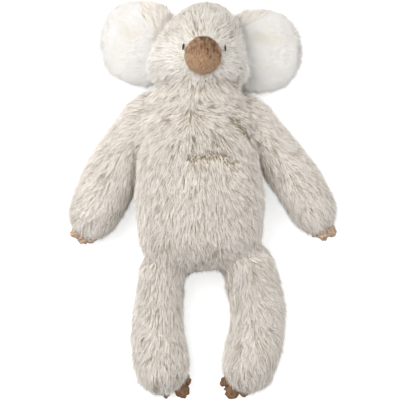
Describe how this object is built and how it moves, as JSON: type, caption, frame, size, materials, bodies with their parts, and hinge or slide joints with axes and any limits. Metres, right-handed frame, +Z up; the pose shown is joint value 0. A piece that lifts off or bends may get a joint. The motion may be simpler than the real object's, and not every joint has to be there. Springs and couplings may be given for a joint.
{
  "type": "plush koala toy",
  "caption": "Plush koala soft toy lying on its back, with long floppy arms and legs, big round ears, a round brown nose and suede claws.",
  "frame": {"origin": "on the floor, under the middle of the torso, on the flat of its back", "axes": "+Z up out of the koala's front, +Y towards its head, +X towards its own left side"},
  "size_m": [0.2662, 0.3959, 0.091],
  "materials": {
    "body_plush": "long matte pile",
    "back_plush": "long matte pile",
    "face_plush": "medium matte pile",
    "ear_white": "long soft white pile",
    "ear_grey": "long matte pile",
    "gather": "long matte pile",
    "nose_pile": "short velvety pile",
    "thread": "satin thread",
    "suede": "matte suede",
    "wadding": "matte fibre",
    "pellets": "satin beads"
  },
  "bodies": {
    "torso": {"torso_front_panel": "body_plush", "torso_back_panel": "back_plush", "torso_stuffing": "wadding", "seat_pellet_bag": "pellets", "neck_gather": "gather", "shoulder_right_gather": "gather", "hip_right_gather": "gather", "shoulder_left_gather": "gather", "hip_left_gather": "gather"},
    "head": {"head_face_panel": "face_plush", "head_back_panel": "back_plush", "head_stuffing": "wadding", "nose_cover": "nose_pile", "nose_filling": "wadding", "eye_stitching_right": "thread", "eye_stitching_left": "thread", "mouth_stitching": "thread", "ear_right_gather": "gather", "ear_left_gather": "gather"},
    "ear_right": {"ear_right_inner_panel": "ear_white", "ear_right_outer_panel": "ear_grey", "ear_right_wadding": "wadding"},
    "arm_right": {"arm_right_front_panel": "body_plush", "arm_right_back_panel": "back_plush", "arm_right_stuffing": "wadding", "arm_right_claw_1": "suede", "arm_right_claw_2": "suede", "arm_right_claw_3": "suede"},
    "leg_right": {"leg_right_front_panel": "body_plush", "leg_right_back_panel": "back_plush", "leg_right_stuffing": "wadding", "foot_right_pellet_pouch": "pellets", "foot_right_claw_1": "suede", "foot_right_claw_2": "suede", "foot_right_claw_3": "suede"},
    "ear_left": {"ear_left_inner_panel": "ear_white", "ear_left_outer_panel": "ear_grey", "ear_left_wadding": "wadding"},
    "arm_left": {"arm_left_front_panel": "body_plush", "arm_left_back_panel": "back_plush", "arm_left_stuffing": "wadding", "arm_left_claw_1": "suede", "arm_left_claw_2": "suede", "arm_left_claw_3": "suede"},
    "leg_left": {"leg_left_front_panel": "body_plush", "leg_left_back_panel": "back_plush", "leg_left_stuffing": "wadding", "foot_left_pellet_pouch": "pellets", "foot_left_claw_1": "suede", "foot_left_claw_2": "suede", "foot_left_claw_3": "suede"}
  },
  "joints": [
    {"name": "neck_nod", "type": "hinge", "parent": "torso", "child": "head", "pos_m": [-0.003, 0.086, 0.024], "axis": [1, 0, 0], "range_deg": [0, 25], "deforming": ["neck_gather"]},
    {"name": "ear_right_fold", "type": "hinge", "parent": "head", "child": "ear_right", "pos_m": [-0.05722, 0.13196, 0.0105], "axis": [0.3067, 0.9518, 0], "range_deg": [0, 60], "deforming": ["ear_right_gather"]},
    {"name": "ear_left_fold", "type": "hinge", "parent": "head", "child": "ear_left", "pos_m": [0.05624, 0.13196, 0.0105], "axis": [0.1362, -0.9907, 0], "range_deg": [0, 60], "deforming": ["ear_left_gather"]},
    {"name": "shoulder_right_lift", "type": "hinge", "parent": "torso", "child": "arm_right", "pos_m": [-0.0666, 0.06, 0.021], "axis": [-1, 0, 0], "range_deg": [0, 120], "deforming": ["shoulder_right_gather"]},
    {"name": "shoulder_left_lift", "type": "hinge", "parent": "torso", "child": "arm_left", "pos_m": [0.0606, 0.06, 0.021], "axis": [-1, 0, 0], "range_deg": [0, 120], "deforming": ["shoulder_left_gather"]},
    {"name": "hip_right_fold", "type": "hinge", "parent": "torso", "child": "leg_right", "pos_m": [-0.037, -0.09, 0.0215], "axis": [-1, 0, 0], "range_deg": [0, 90], "deforming": ["hip_right_gather"]},
    {"name": "hip_left_fold", "type": "hinge", "parent": "torso", "child": "leg_left", "pos_m": [0.05, -0.09, 0.0215], "axis": [-1, 0, 0], "range_deg": [0, 90], "deforming": ["hip_left_gather"]}
  ]
}
